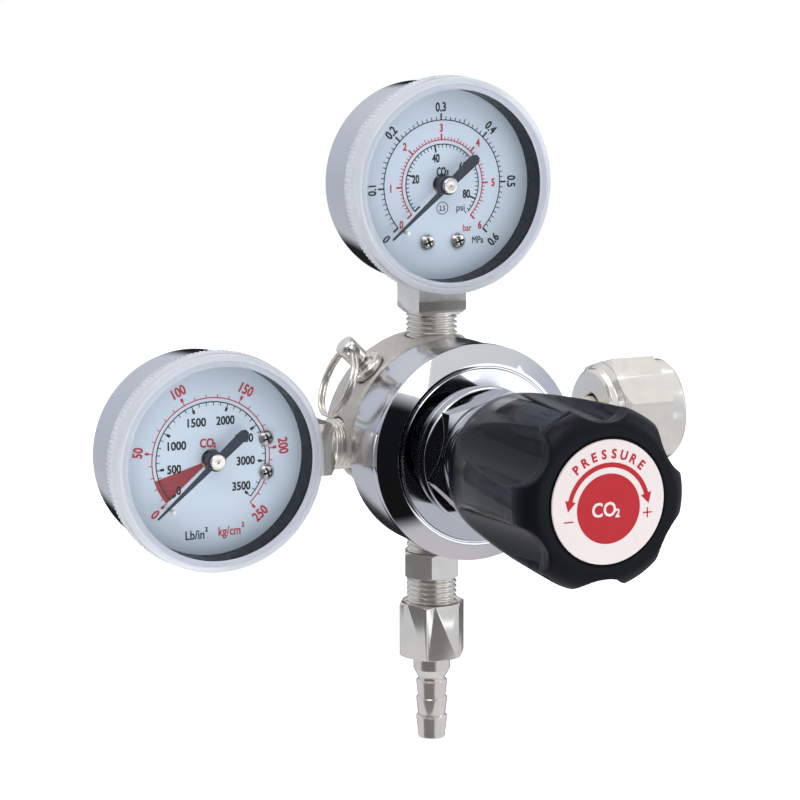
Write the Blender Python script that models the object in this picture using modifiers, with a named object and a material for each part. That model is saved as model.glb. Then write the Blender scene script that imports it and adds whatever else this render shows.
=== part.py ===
"""Carbon dioxide regulator with two pressure gauges, a pressure knob, a relief valve and a hose barb.

Sizes are in millimetres in the regulator's own frame: the origin is where the gauge ports cross
in the body, +X runs towards the cylinder, +Z is up and the knob looks along -Y. metres() moves a
point into the row's frame, whose origin is the inlet nipple's sealing face.
"""
import math

import bmesh
import bpy
from mathutils import Matrix, Quaternion, Vector

MM = 0.001
GAP = 0.3
MERGE = 1e-6

RIGHT = Vector((1, 0, 0))
UP = Vector((0, 0, 1))
DOWN = -UP
FRONT = Vector((0, -1, 0))

# Inlet
INLET_Y = 11.7
SEAL_X = 64.0
ROW_ORIGIN = Vector((SEAL_X, INLET_Y, 0))

# Body
BARREL_R = 26.8
BARREL_FRONT = 24.0
BARREL_REAR = 8.0
LOBE_R = 27.5
BODY_BACK_R = 20.0
BODY_BACK = 20.0
DIAPHRAGM_SEAT = 17.0
CHAMBER_FLOOR = 11.0
CHAMBER_R = 18.0
CLAMP_R = 23.8
PORT_R = 6.9
PORT_FLOOR = 14.0
THREAD_R = 6.58
GAS_WAY_R = 1.4
GAS_WAY_AT = 15.5
HIGH_CHAMBER_R = 5.6
BOSS_TOP = 26.3

# Bonnet and knob
FLANGE_R = 27.6
FLANGE_FACE_R = 23.2
DOME_R = 14.9
DOME_END = 60.0
HEX_R = 17.5
SCREW_R = 5.0
SPRING_WELL_R = 11.0
KNOB_REAR = 48.0
KNOB_FACE = 93.9
KNOB_WELL_R = 15.6
KNOB_WELL_END = 68.6
LABEL_R = 14.6
LOBES = 6

# Gauges
LOW_GAUGE_Z = 66.05
HIGH_GAUGE_X = -63.63
CASE_R = 25.8
LENS_R = 27.5
SOCKET_SIDE = 13.4
SOCKET_END = 33.8
THREAD_END = 50.0
TUBE_BEND_R = 19.5
DIAL_FRONT = 6.4
POINTER_LEVEL = 10.0
ZERO_DEG = 220.5
STOP_PIN_R = 16.3
HUB_R = 2.45
SECTOR_PIVOT = (12.4, -6.0)
SECTOR_R = 12.0
PINION_R = 1.5
LINK_PIN = (12.4, -10.5)
TUBE_TIP_DEG = 262.0

# Relief valve
RELIEF_DEG = 135.0
RELIEF_Y = -3.5
RELIEF_HEAD = 34.8
RING_R = 8.8
RING_WIRE = 0.5
RING_LEAN_DEG = 22.0
RING_TWIST_DEG = -3.0

# Outlet
OUTLET_THREAD_END = -52.3
BARB_END = -81.0

COLOURS = {
    "chrome": ((0.78, 0.79, 0.80), 0.08, 1.0),
    "nickel": ((0.74, 0.71, 0.66), 0.22, 1.0),
    "brass": ((0.72, 0.55, 0.26), 0.30, 1.0),
    "steel": ((0.60, 0.61, 0.62), 0.30, 1.0),
    "spring_steel": ((0.45, 0.46, 0.47), 0.35, 1.0),
    "black_plastic": ((0.012, 0.012, 0.014), 0.12, 0.0),
    "clear_plastic": ((0.92, 0.95, 0.97), 0.06, 0.0),
    "white_print": ((0.85, 0.82, 0.82), 0.45, 0.0),
    "dial_paint": ((0.70, 0.84, 0.90), 0.45, 0.0),
    "pointer_paint": ((0.01, 0.012, 0.03), 0.40, 0.0),
    "rubber": ((0.03, 0.03, 0.03), 0.70, 0.0),
    "nylon": ((0.80, 0.78, 0.70), 0.50, 0.0),
    "bronze": ((0.45, 0.33, 0.18), 0.60, 1.0),
}


def clear_scene():
    for obj in list(bpy.data.objects):
        bpy.data.objects.remove(obj, do_unlink=True)


def new_collection(name):
    collection = bpy.data.collections.new(name)
    bpy.context.scene.collection.children.link(collection)
    return collection


def metres(x, y, z):
    return (Vector((x, y, z)) - ROW_ORIGIN) * MM


def material(name, colour):
    rgb, roughness, metallic = COLOURS[colour]
    made = bpy.data.materials.new(name)
    made.use_nodes = True
    shader = made.node_tree.nodes["Principled BSDF"]
    shader.inputs["Base Color"].default_value = (*rgb, 1)
    shader.inputs["Roughness"].default_value = roughness
    shader.inputs["Metallic"].default_value = metallic
    return made


def add_object(name, data, colour=None):
    """A part when it has a colour, else a cutter or a shape that is joined to a part."""
    obj = bpy.data.objects.new(name, data)
    if colour:
        PARTS.objects.link(obj)
        data.materials.append(material(name, colour))
    else:
        TOOLS.objects.link(obj)
        obj.hide_render = True
        obj.display_type = "WIRE"
    return obj


def aim(obj, start, along, spin=0.0):
    """Put the object's own Z on a line through start, and its X at spin degrees from a set side."""
    z_axis = Vector(along).normalized()
    side = UP if abs(z_axis.x) > 0.9 else RIGHT
    x_axis = (side - z_axis * side.dot(z_axis)).normalized()
    axes = Matrix((x_axis, z_axis.cross(x_axis), z_axis)).transposed()
    obj.rotation_mode = "QUATERNION"
    obj.rotation_quaternion = axes.to_quaternion() @ Quaternion(UP, math.radians(spin))
    obj.location = metres(*start)


def turned(name, outline, along=FRONT, start=(0, 0, 0), steps=40, spin=0.0, colour=None, ring=False):
    """Turn (height, radius) points about a line. They run down the outer side, and back up a bore."""
    points = [(radius * MM, 0, height * MM) for height, radius in outline]
    edges = [(i, i + 1) for i in range(len(points) - 1)]
    if ring:
        edges.append((len(points) - 1, 0))
    mesh = bpy.data.meshes.new(name)
    mesh.from_pydata(points, edges, [])
    obj = add_object(name, mesh, colour)
    screw = obj.modifiers.new("Turn", "SCREW")
    screw.steps = steps
    screw.render_steps = steps
    screw.use_merge_vertices = True
    screw.merge_threshold = MERGE
    screw.use_smooth_shade = True
    aim(obj, start, along, spin)
    return obj


def rod(name, radius, low, high, along=FRONT, start=(0, 0, 0), steps=24, colour=None, spin=0.0):
    outline = [(high, 0), (high, radius), (low, radius), (low, 0)]
    return turned(name, outline, along, start, steps, spin, colour)


def washer(name, outer, inner, low, high, along=FRONT, start=(0, 0, 0), steps=36, colour=None, spin=0.0):
    outline = [(high, inner), (high, outer), (low, outer), (low, inner)]
    return turned(name, outline, along, start, steps, spin, colour, ring=True)


def nut_blank(name, radius, low, high, along, start=(0, 0, 0), spin=0.0, colour=None, chamfer=1.0):
    """A hexagonal bar with its ends chamfered; radius is to the corners."""
    outline = [
        (high, 0),
        (high, radius - chamfer),
        (high - chamfer * 0.6, radius),
        (low + chamfer * 0.6, radius),
        (low, radius - chamfer),
        (low, 0),
    ]
    return turned(name, outline, along, start, 6, spin, colour)


def block(name, low, high, colour=None):
    """A box between two corners given in the regulator's own frame."""
    mesh = bpy.data.meshes.new(name)
    shape = bmesh.new()
    bmesh.ops.create_cube(shape, size=1.0)
    size = (Vector(high) - Vector(low)) * MM
    bmesh.ops.scale(shape, vec=size, verts=shape.verts)
    shape.to_mesh(mesh)
    shape.free()
    obj = add_object(name, mesh, colour)
    obj.location = metres(*((Vector(low) + Vector(high)) / 2))
    return obj


def boolean(target, other, operation):
    step = target.modifiers.new(other.name, "BOOLEAN")
    step.operation = operation
    step.solver = "EXACT"
    step.object = other


def cut(target, *others):
    for other in others:
        boolean(target, other, "DIFFERENCE")


def join(target, *others):
    for other in others:
        boolean(target, other, "UNION")


def wire(name, points, radius, colour=None, origin=(0, 0, 0)):
    """A round wire through points given from origin, in millimetres."""
    curve = bpy.data.curves.new(name, "CURVE")
    curve.dimensions = "3D"
    spline = curve.splines.new("POLY")
    spline.points.add(len(points) - 1)
    for slot, point in zip(spline.points, points):
        slot.co = (*(Vector(point) * MM), 1)
    curve.bevel_depth = radius * MM
    curve.bevel_resolution = 2
    curve.use_fill_caps = True
    obj = add_object(name, curve, colour)
    obj.location = metres(*origin)
    return obj


def coil_points(radius, low, high, turns, around=Vector((1, 0, 0)), along=FRONT, per_turn=14):
    """A helix on a line through the origin."""
    side = Vector(along).cross(around)
    count = int(turns * per_turn)
    points = []
    for i in range(count + 1):
        angle = 2 * math.pi * i / per_turn
        height = low + (high - low) * i / count
        points.append(around * radius * math.cos(angle) + side * radius * math.sin(angle) + along * height)
    return points


def flat_plate(name, outline, low, high, frame, colour=None):
    """A flat outline of (a, b) points in a gauge's frame, from one level to another."""
    curve = bpy.data.curves.new(name, "CURVE")
    curve.dimensions = "2D"
    curve.fill_mode = "BOTH"
    curve.extrude = (high - low) / 2 * MM
    spline = curve.splines.new("POLY")
    spline.points.add(len(outline) - 1)
    for slot, (a, b) in zip(spline.points, outline):
        slot.co = (a * MM, b * MM, 0, 1)
    spline.use_cyclic_u = True
    temporary = bpy.data.objects.new(name, curve)
    TOOLS.objects.link(temporary)
    bpy.context.view_layer.update()
    graph = bpy.context.evaluated_depsgraph_get()
    mesh = bpy.data.meshes.new_from_object(temporary.evaluated_get(graph))
    bpy.data.objects.remove(temporary)
    shape = bmesh.new()
    shape.from_mesh(mesh)
    bmesh.ops.remove_doubles(shape, verts=shape.verts, dist=MERGE)
    bmesh.ops.translate(shape, verts=shape.verts, vec=(0, 0, (high + low) / 2 * MM))
    shape.to_mesh(mesh)
    shape.free()
    mesh.name = name
    mesh.materials.clear()
    obj = add_object(name, mesh, colour)
    obj.matrix_world = frame
    return obj


def arc(centre, radius, start_deg, end_deg, count):
    points = []
    for i in range(count):
        angle = math.radians(start_deg + (end_deg - start_deg) * i / (count - 1))
        points.append((centre[0] + radius * math.cos(angle), centre[1] + radius * math.sin(angle)))
    return points


def regulator_body():
    outline = [
        (BARREL_FRONT, 0),
        (BARREL_FRONT, BARREL_R - 0.8),
        (BARREL_FRONT - 0.8, BARREL_R),
        (BARREL_REAR, BARREL_R),
        (BARREL_REAR - 2.5, BODY_BACK_R + 1.5),
        (BARREL_REAR - 5, BODY_BACK_R),
        (-BODY_BACK + 3, BODY_BACK_R),
        (-BODY_BACK + 0.8, BODY_BACK_R - 1.2),
        (-BODY_BACK, BODY_BACK_R - 3.2),
        (-BODY_BACK, 0),
    ]
    body = turned("regulator_body", outline, steps=44, colour="chrome")
    lobe_outline = [
        (BARREL_REAR + 1, 0),
        (BARREL_REAR + 1, LOBE_R),
        (-6.4, LOBE_R),
        (-8.2, LOBE_R - 0.7),
        (-8.9, LOBE_R - 2.2),
        (-8.9, 0),
    ]
    lobe = turned("lobe", lobe_outline, steps=44)
    boolean(lobe, block("lobe_quadrant", (-40, -20, -2.6), (2, 20, 40)), "INTERSECT")
    join(
        body,
        lobe,
        turned("boss_top", [(BOSS_TOP, 0), (BOSS_TOP, 8.6), (18, 10.5), (18, 0)], UP, steps=30),
        turned("boss_bottom", [(BOSS_TOP - 0.4, 0), (BOSS_TOP - 0.4, 8.6), (18, 10.5), (18, 0)], DOWN, steps=30),
        turned("boss_left", [(23.5, 0), (23.5, 8.6), (18, 10.5), (18, 0)], -RIGHT, steps=30),
        rod("boss_inlet", 10.4, 10, 30, RIGHT, (0, INLET_Y, 0), 30),
    )
    inlet_axis = (0, INLET_Y, 0)
    relief_axis = (0, RELIEF_Y, 0)
    bores = [
        ("clamp_bore", CLAMP_R, DIAPHRAGM_SEAT, BARREL_FRONT + 2, FRONT, (0, 0, 0), 40),
        ("low_chamber", CHAMBER_R, CHAMBER_FLOOR, DIAPHRAGM_SEAT + 1, FRONT, (0, 0, 0), 24),
        ("seat_bore", 4.8, 2.2, CHAMBER_FLOOR + 1, FRONT, (0, 0, 0), 18),
        ("high_chamber", HIGH_CHAMBER_R, -BODY_BACK - 1, 3, FRONT, (0, 0, 0), 20),
        ("port_top", PORT_R, PORT_FLOOR, 35, UP, (0, 0, 0), 24),
        ("port_bottom", PORT_R, PORT_FLOOR, 35, DOWN, (0, 0, 0), 24),
        ("port_left", PORT_R, 13, 35, -RIGHT, (0, 0, 0), 24),
        ("port_inlet", PORT_R, 16, 35, RIGHT, inlet_axis, 24),
        ("port_relief", 4.3, 15.5, 30, RELIEF_OUT, relief_axis, 18),
        ("way_inlet", 2.2, 3.3, 17, RIGHT, inlet_axis, 8),
        ("way_high", GAS_WAY_R, 3.6, 14, -RIGHT, (0, 0, 0), 8),
        ("way_top", GAS_WAY_R, 3.2, CHAMBER_FLOOR + 1, FRONT, (0, 0, GAS_WAY_AT), 8),
        ("way_bottom", GAS_WAY_R, 3.4, CHAMBER_FLOOR + 1, FRONT, (0, 0, -GAS_WAY_AT), 8),
        ("way_relief", GAS_WAY_R, -0.2, CHAMBER_FLOOR + 1, FRONT, tuple(RELIEF_OUT * 15.9), 8),
    ]
    for i, (name, radius, low, high, along, start, steps) in enumerate(bores):
        cut(body, rod(name, radius, low, high, along, start, steps, spin=2.3 + 1.7 * i))
    return body


def bonnet():
    outline = [
        (DOME_END, SCREW_R + 0.35),
        (DOME_END, DOME_R - 1),
        (DOME_END - 1, DOME_R),
        (38, DOME_R),
        (38, DOME_R + 0.2),
        (33, DOME_R + 0.2),
        (33, HEX_R),
        (29.86, HEX_R),
        (29.86, FLANGE_FACE_R),
        (26.5, FLANGE_R),
        (BARREL_FRONT + GAP, FLANGE_R),
        (BARREL_FRONT + GAP, CLAMP_R - 0.4),
        (19.6, CLAMP_R - 0.4),
        (19.6, 19.0),
        (27, SPRING_WELL_R),
        (52, SPRING_WELL_R),
        (52, SCREW_R + 0.35),
    ]
    cover = turned("bonnet", outline, steps=44, colour="chrome", ring=True)
    hexagon = [(38, 13), (38, HEX_R - 0.8), (37.2, HEX_R), (31, HEX_R), (31, 13)]
    join(cover, turned("bonnet_hex", hexagon, steps=6, spin=16, ring=True))


def diaphragm_stack():
    rod("diaphragm", CLAMP_R - 0.4, 17.3, 18.5, steps=48, colour="rubber")
    washer("slip_ring", CLAMP_R - 0.4, 19.2, 18.8, 19.3, colour="steel")
    plate = [(24, 0), (24, 5.6), (20.8, 6), (20.8, 10), (18.8, 10), (18.8, 0)]
    turned("diaphragm_plate", plate, steps=36, colour="brass")
    wire("adjusting_spring", coil_points(8.0, 22.5, 46.1, 4.5, per_turn=10), 1.4, "spring_steel")
    button = [(50.3, 0), (50.3, 9.4), (49.8, 9.8), (47.8, 9.8), (47.8, 5.6), (44, 5.0), (44, 0)]
    turned("spring_button", button, steps=36, colour="brass")


def knob():
    outline = [
        (KNOB_FACE, 0),
        (KNOB_FACE, LABEL_R + 0.4),
        (94.3, LABEL_R + 0.6),
        (94.3, 17.6),
        (93.4, 20.0),
        (91.6, 21.6),
        (89.5, 22.0),
        (87.0, 21.8),
        (70, 20.9),
        (57, 19.6),
        (49, 18.8),
        (KNOB_REAR, 18.2),
        (KNOB_REAR, KNOB_WELL_R),
        (KNOB_WELL_END, KNOB_WELL_R),
        (KNOB_WELL_END, 8.3),
        (90.4, 8.3),
        (90.4, 0),
    ]
    handle = turned("knob", outline, steps=48, colour="black_plastic")
    for i in range(LOBES):
        angle = math.radians(30 + 60 * i)
        away = Vector((math.cos(angle), 0, math.sin(angle)))
        scoop = [(96, 0), (96, 7.0), (87.6, 7.6), (86.4, 8.6), (80, 9.2), (47, 9.2), (47, 0)]
        cut(handle, turned(f"scoop_{i + 1}", scoop, start=tuple(away * 26.9), steps=18))
    rod("knob_label", LABEL_R, 94.2, 94.65, steps=48, colour="white_print")
    washer("knob_insert", 8.0, SCREW_R + 0.3, 70, 90, steps=36, colour="brass")
    turned(
        "adjusting_screw",
        [(88, 0), (88, SCREW_R), (51.4, SCREW_R), (50.6, SCREW_R - 0.8), (50.6, 0)],
        steps=32,
        colour="steel",
    )


def main_valve():
    washer("valve_seat", 4.5, 1.7, 3.4, 10.8, steps=32, colour="nylon")
    poppet = [
        (16.7, 0),
        (16.7, 1.1),
        (3.0, 1.1),
        (2.6, 1.9),
        (1.6, 3.8),
        (-1.5, 3.8),
        (-1.5, 1.6),
        (-6, 1.6),
        (-6, 0),
    ]
    turned("valve_poppet", poppet, steps=28, colour="brass")
    wire("valve_spring", coil_points(2.9, -2.4, -13.3, 5, per_turn=9), 0.5, "spring_steel")
    plug = rod("valve_plug", 5.3, -21, -14.3, steps=32, colour="nickel")
    join(plug, nut_blank("plug_hex", 9.8, -24.6, -BODY_BACK - GAP, FRONT, spin=10))


def inlet():
    axis = (0, INLET_Y, 0)
    rod("inlet_filter", 6.2, 16.4, 19.6, RIGHT, axis, 32, "bronze")
    nipple = turned(
        "inlet_nipple",
        [
            (SEAL_X, 2.6),
            (SEAL_X, 8.6),
            (SEAL_X - 0.8, 9.4),
            (58.4, 9.4),
            (58.4, 5.0),
            (37.6, 5.0),
            (37.6, 8.0),
            (30.3, 8.0),
            (30.3, THREAD_R),
            (20, THREAD_R),
            (20, 2.6),
        ],
        RIGHT,
        axis,
        28,
        colour="nickel",
        ring=True,
    )
    hexagon = [(38, 6.5), (38, 9.0), (37.4, 9.8), (31, 9.8), (30.3, 9.0), (30.3, 6.5)]
    join(nipple, turned("nipple_hex", hexagon, RIGHT, axis, 6, 12, ring=True))
    washer("inlet_washer", 8.6, 4.2, SEAL_X + GAP, SEAL_X + 2.0, RIGHT, axis, 40, "nylon")
    sleeve = [
        (76, 0),
        (76, 13.2),
        (75.3, 13.8),
        (57, 13.8),
        (55.4, 12.1),
        (54.1, 12.1),
        (53.5, 11.5),
        (53.5, 0),
    ]
    nut = turned("inlet_nut", sleeve, RIGHT, axis, 36, colour="nickel")
    join(nut, nut_blank("nut_hex", 15.9, 57.2, 71.2, RIGHT, axis, 13, chamfer=1.4))
    cut(
        nut,
        rod("nut_bore", 10.8, 58, 80, RIGHT, axis, 30),
        rod("nut_hole", 5.6, 50, 60, RIGHT, axis, 24),
    )


def relief_point(distance, across):
    """A point on the relief valve's line, at a distance from the regulator's axis."""
    return RELIEF_OUT * distance + Vector((0, RELIEF_Y + across, 0))


def relief_valve():
    base = (0, RELIEF_Y, 0)
    housing = [
        (30.2, 1.7),
        (30.2, 2.9),
        (29.4, 3.2),
        (29.4, 4.5),
        (27.8, 4.5),
        (27.8, 4.0),
        (18.3, 4.0),
        (18.3, 3.2),
        (27.4, 3.2),
        (27.4, 1.7),
    ]
    turned("relief_body", housing, RELIEF_OUT, base, 22, colour="nickel", ring=True)
    stem = turned(
        "relief_stem",
        [(37.5, 0), (37.5, 2.2), (37.0, 2.7), (31.4, 2.7), (30.9, 2.2), (30.9, 1.3), (21.6, 1.3),
         (21.6, 2.9), (20.2, 2.9), (20.2, 0)],
        RELIEF_OUT,
        base,
        24,
        colour="nickel",
    )
    hole = tuple(relief_point(RELIEF_HEAD, 0))
    cut(stem, rod("ring_hole", 1.75, -4, 4, FRONT, hole, 20))
    rod("relief_seal", 2.8, 18.6, 19.9, RELIEF_OUT, base, 24, "rubber")
    points = coil_points(2.35, 22.2, 26.9, 3.5, FRONT, RELIEF_OUT, 9)
    wire("relief_spring", points, 0.35, "spring_steel", base)
    relief_ring(Vector(hole))


def relief_ring(hole):
    """A split ring's two flat turns as one solid, hung through the stem and leaning on the body."""
    twist = Quaternion(UP, math.radians(RING_TWIST_DEG))
    lean = Quaternion((0, 1, 0), math.radians(RING_LEAN_DEG)) @ twist
    centre = hole - lean @ Vector((0, 0, RING_R))
    half = RING_WIRE + 0.02
    outline = [(half + x, RING_R + y) for x, y in arc((0, 0), RING_WIRE, 90, -90, 5)]
    outline += [(-half - x, RING_R - y) for x, y in arc((0, 0), RING_WIRE, 90, -90, 5)]
    outline.reverse()
    turned("relief_ring", outline, lean @ RIGHT, tuple(centre), 40, colour="nickel", ring=True)


def outlet():
    fitting = rod("outlet_fitting", THREAD_R, 15, -OUTLET_THREAD_END, DOWN, steps=28, colour="nickel")
    join(fitting, nut_blank("fitting_hex", 8.05, 30.5, 36.9, DOWN, spin=-5, chamfer=0.7))
    cut(fitting, rod("fitting_bore", 3.0, 10, 60, DOWN, steps=14))
    nut = nut_blank("outlet_nut", 9.1, 44, 58.5, DOWN, spin=4, colour="nickel", chamfer=1.1)
    cut(
        nut,
        rod("outlet_nut_bore", PORT_R, 40, 55.4, DOWN, steps=36),
        rod("outlet_nut_hole", 5.2, 50, 60, DOWN, steps=32),
    )
    barbs = []
    for crest in (65.5, 70.2, 75.2):
        barbs += [(crest, 3.5), (crest + 0.2, 4.15), (crest + 4.4, 3.6)]
    outline = [(-BARB_END, 2.0), (-BARB_END, 3.4), (-BARB_END - 0.3, 3.6)]
    outline += list(reversed(barbs))
    outline += [(65.2, 3.4), (62, 4.85), (55.1, 4.85), (55.1, 6.4), (52.6, 6.4), (52.6, 2.0)]
    turned("hose_barb", outline, DOWN, steps=22, colour="nickel", ring=True)


class Gauge:
    """One pressure gauge, in its own frame: a towards its port, b a quarter turn on, level to the front."""

    def __init__(self, tag, centre, port, screws):
        self.tag = tag
        self.centre = Vector(centre)
        self.port = Vector(port)
        self.side = Quaternion((0, 1, 0), -math.pi / 2) @ self.port
        self.screws = screws
        axes = Matrix((self.port, self.side, FRONT)).transposed().to_4x4()
        self.frame = Matrix.Translation(metres(*self.centre)) @ axes

    def name(self, piece):
        return f"{self.tag}_{piece}"

    def point(self, a, b, level=0.0):
        return self.centre + self.port * a + self.side * b + FRONT * level

    def pin(self, piece, radius, low, high, a=0.0, b=0.0, steps=20, colour=None):
        return rod(self.name(piece), radius, low, high, FRONT, tuple(self.point(a, b)), steps, colour)

    def turned(self, piece, outline, colour, steps=40, ring=False):
        start = tuple(self.centre)
        return turned(self.name(piece), outline, FRONT, start, steps, colour=colour, ring=ring)

    def brick(self, piece, low, high, colour=None):
        ends = [self.point(*low), self.point(*high)]
        corner = [[min(ends[0][i], ends[1][i]), max(ends[0][i], ends[1][i])] for i in range(3)]
        return block(self.name(piece), [c[0] for c in corner], [c[1] for c in corner], colour)

    def build(self):
        self.shell()
        self.face()
        self.socket()
        self.movement()

    def shell(self):
        cup = [(-9.8, 0), (-9.8, 24.2), (13.2, 24.7), (13.2, CASE_R), (-8.8, CASE_R), (-10.5, 25.0),
               (-11.0, 23.4), (-11.0, 0)]
        case = self.turned("case", cup, "chrome")
        cut(case, rod(self.name("case_hole"), 5.4, 20, 30, self.port, tuple(self.centre), 24))
        window = [(14.9, 0), (14.9, 24.6), (14.2, 26.2), (12.8, LENS_R), (7.0, LENS_R), (7.0, 26.1),
                  (13.6, 26.1), (13.6, 0)]
        self.turned("lens", window, "clear_plastic")

    def face(self):
        dial = self.turned("dial", [(DIAL_FRONT, 2.6), (DIAL_FRONT, 24.3), (5.9, 24.3), (5.9, 2.6)],
                           "dial_paint", ring=True)
        for i, (x, z) in enumerate(self.screws):
            spot = self.centre + Vector((x, 0, z))
            cut(dial, rod(self.name(f"dial_hole_{i}"), 1.6, 4, 8, FRONT, tuple(spot), 12))
            screw = [(7.9, 0), (7.9, 1.0), (7.4, 1.9), (6.7, 2.1), (6.7, 1.2), (4.0, 1.2), (4.0, 0)]
            turned(self.name(f"dial_screw_{i + 1}"), screw, FRONT, tuple(spot), 16, colour="nickel")
        stop = math.radians(ZERO_DEG + 5)
        spot = self.centre + Vector((math.cos(stop), 0, math.sin(stop))) * STOP_PIN_R
        rod(self.name("stop_pin"), 0.5, DIAL_FRONT + GAP, 11, FRONT, tuple(spot), 12, "nickel")
        self.pointer()

    def pointer(self):
        """The needle rests on zero, so its outline is drawn along that direction."""
        tip = Quaternion((0, 1, 0), -math.radians(ZERO_DEG)) @ RIGHT
        across = Quaternion((0, 1, 0), -math.pi / 2) @ tip
        axes = Matrix((tip, across, FRONT)).transposed().to_4x4()
        frame = Matrix.Translation(metres(*self.centre)) @ axes
        hub = arc((0, 0), HUB_R, 20, 158, 7)
        lower = arc((0, 0), HUB_R, 202, 340, 7)
        tail = [(-9.8, 1.35), (-10.9, 0.5), (-10.9, -0.5), (-9.8, -1.35)]
        outline = [(20.5, 0.15)] + hub + tail + lower + [(20.5, -0.15)]
        flat_plate(self.name("pointer"), outline, POINTER_LEVEL, POINTER_LEVEL + 0.5, frame, "pointer_paint")
        cap = [(11.7, 0), (11.7, 1.7), (11.4, 2.05), (10.8, 2.05), (10.8, 0)]
        self.turned("pointer_cap", cap, "nickel", 20)
        arbor = [(9.7, 0), (9.7, 0.8), (1.2, 0.8), (1.2, PINION_R), (-1.2, PINION_R), (-1.2, 0.8),
                 (-4.2, 0.8), (-4.2, 0)]
        self.turned("arbor", arbor, "brass", 16)

    def socket(self):
        half = SOCKET_SIDE / 2
        body = self.brick("socket", (CASE_R + GAP, -half, -half), (SOCKET_END, half, half), "nickel")
        edge = body.modifiers.new("Edge", "BEVEL")
        edge.width = 0.6 * MM
        edge.segments = 1
        start = tuple(self.centre)
        join(
            body,
            rod(self.name("socket_thread"), THREAD_R, 32, THREAD_END, self.port, start, 36),
            rod(self.name("socket_neck"), 5.0, 22, 28, self.port, start, 24),
            self.brick("socket_block", (16, -6, -3), (22.8, 6, 3)),
        )
        cut(body, rod(self.name("socket_bore"), 1.3, 19, 60, self.port, start, 12))

    def movement(self):
        plates = self.brick("movement_frame", (-9, -8.2, 2.6), (15.7, 8.2, 3.6), "brass")
        join(
            plates,
            self.brick("rear_plate", (-9, -8.2, -3.6), (15.7, 8.2, -2.6)),
            self.pin("pillar_1", 1.2, -3, 3, 13.5, 6.0, 12),
            self.pin("pillar_2", 1.2, -3, 3, -7.0, 6.0, 12),
            self.pin("pillar_3", 1.2, -3, 3, -7.0, -6.0, 12),
        )
        cut(
            plates,
            self.pin("arbor_hole", 1.1, -5, 5, 0, 0, 16),
            self.pin("sector_hole", 1.1, -5, 5, *SECTOR_PIVOT, 16),
        )
        self.sector()
        self.tube()

    def sector(self):
        inward = math.degrees(math.atan2(-SECTOR_PIVOT[1], -SECTOR_PIVOT[0]))
        rim = arc(SECTOR_PIVOT, SECTOR_R, inward - 38, inward + 4, 9)
        back = arc(SECTOR_PIVOT, 2.4, inward + 30, 250, 5)
        tail = arc(LINK_PIN, 1.3, 200, 340, 5)
        front = arc(SECTOR_PIVOT, 2.4, 290, 360 + inward - 60, 7)
        plate = flat_plate(
            self.name("sector_gear"), rim + back + tail + front, -0.5, 0.5, self.frame, "brass"
        )
        shaft = self.pin("sector_shaft", 0.8, -4.2, 4.2, *SECTOR_PIVOT, 12)
        join(plate, shaft)
        tip = [TUBE_BEND_R * f(math.radians(TUBE_TIP_DEG)) for f in (math.cos, math.sin)]
        run = math.degrees(math.atan2(tip[1] - LINK_PIN[1], tip[0] - LINK_PIN[0]))
        bar = arc(tip, 1.3, run - 90, run + 90, 7) + arc(LINK_PIN, 1.3, run + 90, run + 270, 7)
        flat_plate(self.name("link"), bar, 0.8, 1.4, self.frame, "brass")

    def tube(self):
        points = []
        for a, b in arc((0, 0), TUBE_BEND_R, 21.5, 250, 22):
            points.append(self.point(a, b) - self.centre)
        wire(self.name("bourdon_tube"), points, 1.4, "brass", tuple(self.centre))
        inner = arc((0, 0), TUBE_BEND_R - 1.8, TUBE_TIP_DEG - 7, TUBE_TIP_DEG + 6, 4)
        outer = arc((0, 0), TUBE_BEND_R + 1.8, TUBE_TIP_DEG + 6, TUBE_TIP_DEG - 7, 4)
        flat_plate(self.name("tube_tip"), outer + inner, -1.6, 0.5, self.frame, "brass")


def model():
    regulator_body()
    bonnet()
    diaphragm_stack()
    knob()
    main_valve()
    inlet()
    relief_valve()
    outlet()
    Gauge("low", (0, 0, LOW_GAUGE_Z), DOWN, [(-4.3, -14.6), (4.3, -14.6)]).build()
    Gauge("high", (HIGH_GAUGE_X, 0, 0), RIGHT, [(14.6, 4.3), (14.6, -4.3)]).build()


RELIEF_OUT = Vector((math.cos(math.radians(RELIEF_DEG)), 0, math.sin(math.radians(RELIEF_DEG))))

clear_scene()
PARTS = new_collection("carbon_dioxide_regulator")
TOOLS = new_collection("cutters")
model()
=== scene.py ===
"""Looks of the carbon dioxide regulator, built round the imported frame.

Sizes are millimetres in the regulator's own frame: the origin is where the gauge ports cross in the
body, +X runs to the cylinder, +Z is up and the knob looks along -Y. ORIGIN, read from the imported
nodes, is that point in the row's frame.
"""
import math

import bmesh
import bpy
from mathutils import Matrix, Vector


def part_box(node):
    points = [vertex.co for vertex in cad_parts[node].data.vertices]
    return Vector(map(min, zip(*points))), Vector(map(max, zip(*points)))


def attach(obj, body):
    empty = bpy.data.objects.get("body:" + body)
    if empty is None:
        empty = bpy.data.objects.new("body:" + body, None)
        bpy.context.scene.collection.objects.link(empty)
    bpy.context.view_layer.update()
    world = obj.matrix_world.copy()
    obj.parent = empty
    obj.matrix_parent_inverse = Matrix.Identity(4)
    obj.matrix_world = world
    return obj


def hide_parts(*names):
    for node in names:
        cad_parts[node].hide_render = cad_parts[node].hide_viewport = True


MM = 0.001
RIGHT = Vector((1, 0, 0))
UP = Vector((0, 0, 1))
DOWN = -UP
FRONT = Vector((0, -1, 0))
SHARP = math.radians(32)
FONT_CAP = 0.73

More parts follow.
